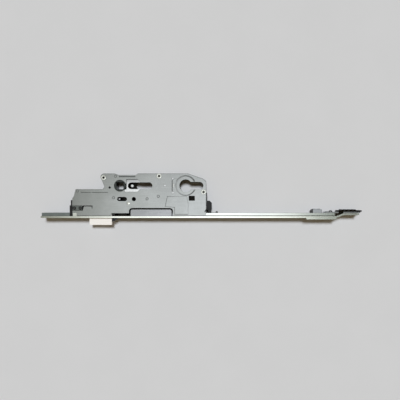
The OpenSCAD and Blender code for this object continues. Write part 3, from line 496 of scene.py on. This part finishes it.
def moved_copy(piece, step):
    """A copy with its own mesh, moved by a step in mm."""
    twin = piece.copy()
    twin.data = piece.data.copy()
    bpy.context.scene.collection.objects.link(twin)
    twin.location = piece.location + Vector(step) * MM
    return twin


def coil(name, length, radius, wire, turns, start, turn):
    """A wire coil from a start point, its axis turned from +Z, with closed ends."""
    bpy.ops.object.select_all(action="DESELECT")
    bpy.ops.mesh.primitive_circle_add(vertices=12, radius=wire * MM, location=(radius * MM, 0, wire * MM),
                                      rotation=(math.pi / 2, 0, 0))
    piece = bpy.context.object
    piece.name = name
    bpy.ops.object.transform_apply(location=True, rotation=True, scale=True)
    screw = piece.modifiers.new("coil", "SCREW")
    screw.axis = "Z"
    screw.screw_offset = (length - 2 * wire) / turns * MM
    screw.iterations = turns
    screw.steps = 32
    screw.render_steps = 32
    screw.use_merge_vertices = False
    bpy.ops.object.modifier_apply(modifier="coil")
    bpy.ops.object.mode_set(mode="EDIT")
    bpy.ops.mesh.select_all(action="SELECT")
    bpy.ops.mesh.fill_holes(sides=0)
    bpy.ops.mesh.select_all(action="SELECT")
    bpy.ops.mesh.normals_make_consistent(inside=False)
    bpy.ops.object.mode_set(mode="OBJECT")
    piece.rotation_euler = turn
    piece.location = Vector(start) * MM
    return piece


# Pieces that keep their node's shape, with edges broken by so many mm

EDGE_WIDTHS = {
    "faceplate": 0.2, "end_doubler": 0.2, "case_plate": 0.12, "case_rim": 0.12,
    "backing_bar": 0.2, "corner_block": 0.35, "rod_clip": 0.35, "front_lugs": 0.3,
    "latch_guide": 0.35, "latch_head": 0.35, "latch_tail": 0.25, "follower": 0.25, "thrust_plate": 0.2,
    "spring_stop": 0.25, "drive_rod": 0.2, "rod_foot": 0.2,
    "coupler_carrier": 0.2, "coupler": 0.3, "front_screws": 0.1, "block_rivets": 0.2,
    "doubler_rivets": 0.1, "slot_pin": 0.3, "guide_pin": 0.3, "bolt_pin": 0.2, "latch_rivet": 0.2,
    "rod_stud": 0.1,
}
for node, width in EDGE_WIDTHS.items():
    softened(node, width)
softened("bolt", 0.3, "plain_steel")
softened("drive_slide", 0.2, "black_steel")
softened("rod_hook", 0.2, "black_steel")
block = softened("coupling_block", 0.45)
# Painted shade on the block's faces that look along X, which the key light does not reach
mark(block, "painted_shade", lambda p, n: abs(n.x) > 0.35)

# Cover: pressed dimples, ring and panel with rounded borders, and fine ribs

DIMPLE_SPOTS = [(-100.9, -16.8), (-54.0, -18.3), (-38.3, -14.8), (-98.0, 13.2), (-151.3, -7.3)]
RIBS = (-19.6, -7.5, -16.2, 8.1)
REAR_EDGES = [(-70, 5.0, 30, 20), (-125, 5.0, -93.5, 20), (-160, -8.5, -104, -4.5)]
LONG_RIB = (-19.6, -7.5, -18.2, 8.1)
SHORT_RIB = (-17.7, -2.6, -16.2, 3.2)
COVER_TOP = 8.0
RAISED = 8.2
DIMPLE_RADIUS = 1.3
DIMPLE_GROWTH = 1.7
LONG_RIB_SHARE = 0.12
PRESSED_ROUND = 0.34
RIB_ROUND = 0.05
REAR_ROUND = 0.6
DIMPLE_WALL = (1.2, 2.4)
DIMPLE_SHADE = 0.45
cover = copy_of("case_cover", "case_cover_pressed")
for x, y in DIMPLE_SPOTS:
    reshape(cover, lambda p: p.z > COVER_TOP - 0.1 and math.hypot(p.x - x, p.y - y) < DIMPLE_RADIUS,
            (DIMPLE_GROWTH, DIMPLE_GROWTH, 1), (x, y, COVER_TOP))
reshape(cover, lambda p: p.z > RAISED and inside(p, LONG_RIB), (1, 1, LONG_RIB_SHARE), (0, 0, COVER_TOP))
round_raised(cover, RAISED, PRESSED_ROUND, RIB_ROUND, RIBS)
round_rim(cover, COVER_TOP, REAR_ROUND, REAR_EDGES)
break_edges(cover, 0.1)
# Painted shade on the walls of the pressed dimples
mark(cover, "painted_shade", lambda p, n: DIMPLE_SHADE * (p.z > COVER_TOP - 0.05 and n.z < 0.985 and any(
    DIMPLE_WALL[0] < math.hypot(p.x - x, p.y - y) < DIMPLE_WALL[1] for x, y in DIMPLE_SPOTS)))
# Painted highlight on the raised faces of the short rib
mark(cover, "painted_highlight", lambda p, n: p.z > COVER_TOP + 0.1 and inside(p, SHORT_RIB))
settle(cover, "case_cover")
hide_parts("case_cover")

# Strips in the floor of the cover's thin grooves, in a darker zinc that is painted shade

GROOVE_FLOORS = [((-147.8, -10.3, 5.9), (-107.7, -8.5, 6.5)),
                 ((-92.6, 11.3, 5.9), (-70.8, 13.65, 6.5))]
GROOVE_EDGE = 0.12
strips = []
for low, high in GROOVE_FLOORS:
    bpy.ops.object.select_all(action="DESELECT")
    bpy.ops.mesh.primitive_cube_add(size=1, location=(Vector(low) + Vector(high)) / 2 * MM)
    strip = bpy.context.object
    strip.scale = (Vector(high) - Vector(low)) * MM
    bpy.ops.object.transform_apply(location=True, rotation=True, scale=True)
    break_edges(strip, GROOVE_EDGE)
    strips.append(strip)
settle(joined("groove_shade_floors", strips), "case_cover", "zinc_sheet", own="groove_shade")

# Hollow screws: a rolled flange at both ends, a chamfered mouth and the grooves of a thread in the bore

HOLLOW_SPOTS = [(-114.9, 11.3), (-37.2, 13.5), (25.0, -8.7)]
HOLLOW_MOUTH = [(1.5, 6.6), (1.5, 8.25), (1.95, 8.72), (2.3, 8.8), (3.15, 8.8), (3.55, 8.66), (3.7, 8.36),
                (3.7, 8.02), (2.1, 8.0)]
THREAD_TURNS = 8
THREAD_PITCH = 0.8
THREAD_TOP = 6.4
THREAD_CREST, THREAD_ROOT = 1.36, 1.5
BORE_REACH = 1.55
thread = []
for turn in range(THREAD_TURNS):
    low = THREAD_TOP - THREAD_PITCH * turn
    thread += [(THREAD_CREST, low), (THREAD_ROOT, low - THREAD_PITCH / 2)]
rings = HOLLOW_MOUTH + [(r, -z) for r, z in reversed(HOLLOW_MOUTH)] + [(r, z) for r, z in reversed(thread)]
first = turned("case_screws_turned", HOLLOW_SPOTS[0], rings)
screws = [first] + [moved_copy(first, (x - HOLLOW_SPOTS[0][0], y - HOLLOW_SPOTS[0][1], 0))
                    for x, y in HOLLOW_SPOTS[1:]]
screws = joined("case_screws_turned", screws)
pick_only(screws)
bpy.ops.object.transform_apply(location=True, rotation=True, scale=True)
# Painted shade in the screws' bores
mark(screws, "painted_shade", lambda p, n: any(
    math.hypot(p.x - x, p.y - y) < BORE_REACH for x, y in HOLLOW_SPOTS))
settle(screws, "case_screws", "galvanised_strip")
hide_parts("case_screws")

# Spacer posts: three peened over the sheet, one with a broad bright head beside the window

POST_SPOTS = [(-18.2, 10.5), (-18.0, -9.5), (-29.2, 0.7)]
BRIGHT_POST = (-80.1, -24.5)
POST_HEAD = [(0.3, 8.3), (1.2, 8.3), (1.42, 8.24), (1.62, 8.1), (1.7, 8.02), (1.4, 8.0)]
BRIGHT_HEAD = [(0.3, 8.5), (1.9, 8.5), (2.15, 8.42), (2.3, 8.22), (2.3, 8.02), (1.4, 8.0)]
POST_STEM = [(1.4, 6.5), (2.05, 6.5), (2.2, 6.35)]


def post(name, spot, head):
    half = head + POST_STEM
    return turned(name, spot, half + [(r, -z) for r, z in reversed(half)], 32)


first = post("case_posts_peened", POST_SPOTS[0], POST_HEAD)
posts = [first] + [moved_copy(first, (x - POST_SPOTS[0][0], y - POST_SPOTS[0][1], 0))
                   for x, y in POST_SPOTS[1:]]
posts = joined("case_posts_peened", posts)
settle(posts, "case_posts", "bright_zinc")
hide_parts("case_posts")
settle(post("window_post_bright", BRIGHT_POST, BRIGHT_HEAD), "case_posts", "galvanised_strip")

# End moulding: a worn tongue, dark eyelets rolled over its two bosses and a drilled pin in each

guide = softened("left_guide", 0.3)
mark(guide, "worn", lambda p, n: n.z > 0.8 and p.z > 5 and inside(p, (-158.5, -36, -141, -27)))
EYELET_SPOTS = [(-156.0, -31.3), (-147.8, -31.3)]
EYELET = [(0.98, 6.4), (0.98, 7.72), (1.2, 7.92), (1.6, 7.98), (1.92, 7.88), (2.04, 7.72),
          (1.1, 7.7), (1.1, 6.4)]
END_PIN = [(0.2, 7.6), (0.7, 7.6), (0.86, 7.45), (0.86, 4.7), (0.2, 4.7)]
for name, rings, finish in (("end_eyelets", EYELET, "black_steel"), ("end_pins", END_PIN, "grey_steel")):
    first = turned(name, EYELET_SPOTS[0], rings, 32)
    twin = moved_copy(first, (EYELET_SPOTS[1][0] - EYELET_SPOTS[0][0], 0, 0))
    settle(joined(name, [first, twin]), "left_guide", finish)

# Springs of round wire

LATCH_COIL = dict(length=31.71, radius=3.2, wire=0.5, turns=10)
THRUST_COIL = dict(length=15.96, radius=1.15, wire=0.35, turns=9)
spring = coil("latch_spring_wire", start=(-124.0, -37.98, 0.0), turn=(-math.pi / 2, 0, 0), **LATCH_COIL)
settle(spring, "latch_spring", smooth=60)
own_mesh(spring)
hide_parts("latch_spring")

THRUST_SPRING_Y = 7.05
pair = [coil("thrust_springs_wire", start=(-56.08, side * THRUST_SPRING_Y, 4.75),
             turn=(0, math.pi / 2, 0), **THRUST_COIL) for side in (-1, 1)]
for piece in pair:
    pick_only(piece)
    bpy.ops.object.transform_apply(location=True, rotation=True, scale=True)
pair = joined("thrust_springs_wire", pair)
settle(pair, "thrust_springs", smooth=60)
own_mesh(pair)
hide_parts("thrust_springs")


# Floor, light and camera

bpy.ops.object.select_all(action="DESELECT")
FLOOR_SIZE = 6.0
bpy.ops.mesh.primitive_plane_add(size=FLOOR_SIZE, location=(0.02, 0, cad_box[0].z))
floor = bpy.context.object
floor.name = "floor"
paper = Finish("floor_paper", 0.0, 0.2)
fibres = paper.noise(paper.place, 14.0, 3.0)
paper.colour(paper.ramp(fibres, (0.3, srgb(213, 213, 213)), (0.7, srgb(215, 215, 215))))
paper.shader.inputs["Roughness"].default_value = 0.9
floor.data.materials.append(paper.material)

scene = bpy.context.scene
scene.view_settings.view_transform = "Standard"
scene.view_settings.look = "None"

world = bpy.data.worlds.new("studio")
scene.world = world
world.use_nodes = True
sky = world.node_tree
ball = sky.nodes.new("ShaderNodeTexCoord")
split = sky.nodes.new("ShaderNodeSeparateXYZ")
sky.links.new(ball.outputs["Generated"], split.inputs["Vector"])


def sky_ramp(axis, low, high, stops):
    """Brightness of the room along one axis of the view direction."""
    level = sky.nodes.new("ShaderNodeMapRange")
    level.inputs["From Min"].default_value = low
    level.inputs["From Max"].default_value = high
    sky.links.new(split.outputs[axis], level.inputs["Value"])
    ramp = sky.nodes.new("ShaderNodeValToRGB")
    edge = ramp.color_ramp.elements
    edge[0].position, edge[0].color = (stops[0][0] - low) / (high - low), stops[0][1]
    edge[1].position, edge[1].color = (stops[-1][0] - low) / (high - low), stops[-1][1]
    for place, colour in stops[1:-1]:
        edge.new((place - low) / (high - low)).color = colour
    sky.links.new(level.outputs["Result"], ramp.inputs["Fac"])
    return ramp.outputs["Color"]


# What polished faces mirror: a bright panel overhead, falling off towards both ends, and pale walls
panel = sky_ramp("X", -1.0, 1.0, [
    (-0.9, (0.60, 0.60, 0.59, 1)), (-0.65, (0.45, 0.45, 0.44, 1)), (-0.42, (0.11, 0.11, 0.08, 1)),
    (-0.36, (0.09, 0.095, 0.06, 1)), (-0.325, (0.64, 0.66, 0.58, 1)),
    (-0.27, (0.80, 0.82, 0.79, 1)), (-0.22, (1.38, 1.40, 1.38, 1)), (-0.14, (1.52, 1.55, 1.54, 1)),
    (-0.06, (1.60, 1.63, 1.65, 1)), (0.0, (1.98, 2.01, 2.09, 1)), (0.06, (1.84, 1.87, 1.92, 1)),
    (0.2, (1.66, 1.70, 1.70, 1)), (0.235, (1.38, 1.42, 1.36, 1)),
    (0.265, (0.70, 0.75, 0.68, 1)), (0.29, (0.42, 0.47, 0.43, 1)), (0.36, (0.18, 0.19, 0.17, 1)),
    (0.65, (0.45, 0.45, 0.44, 1)), (0.9, (0.60, 0.60, 0.59, 1))])
across = sky_ramp("Y", -0.5, 0.5, [
    (-0.3, (0, 0, 0, 1)), (-0.16, (0.9, 0.9, 0.9, 1)), (-0.06, (1, 1, 1, 1)), (0.0, (1, 1, 1, 1)),
    (0.03, (0.80, 0.80, 0.80, 1)), (0.06, (0.54, 0.54, 0.54, 1)), (0.1, (0.38, 0.38, 0.38, 1)),
    (0.2, (0.3, 0.3, 0.3, 1)), (0.36, (0, 0, 0, 1))])
walls = sky_ramp("Z", 0.0, 1.0, [
    (0.0, (0.66, 0.66, 0.65, 1)), (0.5, (0.62, 0.62, 0.61, 1)), (0.78, (0.58, 0.58, 0.57, 1)),
    (0.90, (0.42, 0.415, 0.40, 1)), (1.0, (0.20, 0.195, 0.18, 1))])


def sky_mix(amount, a, b):
    """One room colour or another; a and b are sockets or colours."""
    mix = sky.nodes.new("ShaderNodeMix")
    mix.data_type = "RGBA"
    sky.links.new(amount, mix.inputs[0])
    for socket, value in ((mix.inputs[6], a), (mix.inputs[7], b)):
        if isinstance(value, tuple):
            socket.default_value = value
        else:
            sky.links.new(value, socket)
    return mix.outputs[2]


FILL = (0.172, 0.135, 0.083, 1)
BACKDROP = (0.58, 0.58, 0.58, 1)
rays = sky.nodes.new("ShaderNodeLightPath")
room = sky_mix(across, walls, panel)
room = sky_mix(rays.outputs["Diffuse Depth"], room, FILL)
room = sky_mix(rays.outputs["Is Camera Ray"], room, BACKDROP)
sky.links.new(room, sky.nodes["Background"].inputs["Color"])
world.cycles.sampling_method = "NONE"


# Key light from behind and above; polished faces mirror the room alone
KEY_PLACE = Vector((0.0, 0.35, 1.0))
KEY_AIM = Vector((0, 0, 0))
key_light = bpy.data.lights.new("key", "SUN")
key_light.energy = 2.77
key_light.color = (0.893, 0.938, 1.0)
key_light.angle = math.radians(13)
key = bpy.data.objects.new("key", key_light)
scene.collection.objects.link(key)
key.location = KEY_PLACE
key.rotation_euler = (KEY_AIM - KEY_PLACE).to_track_quat("-Z", "Y").to_euler()
key.visible_glossy = False

VIEW_HALF_WIDTH = 0.2795
SENSOR_WIDTH = 36.0
camera = bpy.data.cameras.new("camera")
camera_obj = bpy.data.objects.new("camera", camera)
scene.collection.objects.link(camera_obj)
eye = Vector((0.020, -0.020, 0.550))
aim = Vector((0.020, -0.020, 0.008))
camera_obj.location = eye
back = (eye - aim).normalized()
right = Vector((1, 0, 0))
camera_obj.rotation_euler = Matrix((right, back.cross(right), back)).transposed().to_euler()
camera.sensor_width = SENSOR_WIDTH
camera.lens = SENSOR_WIDTH / 2 * (aim - eye).length / VIEW_HALF_WIDTH
camera.clip_start = 0.01
camera.clip_end = 20.0
scene.camera = camera_obj
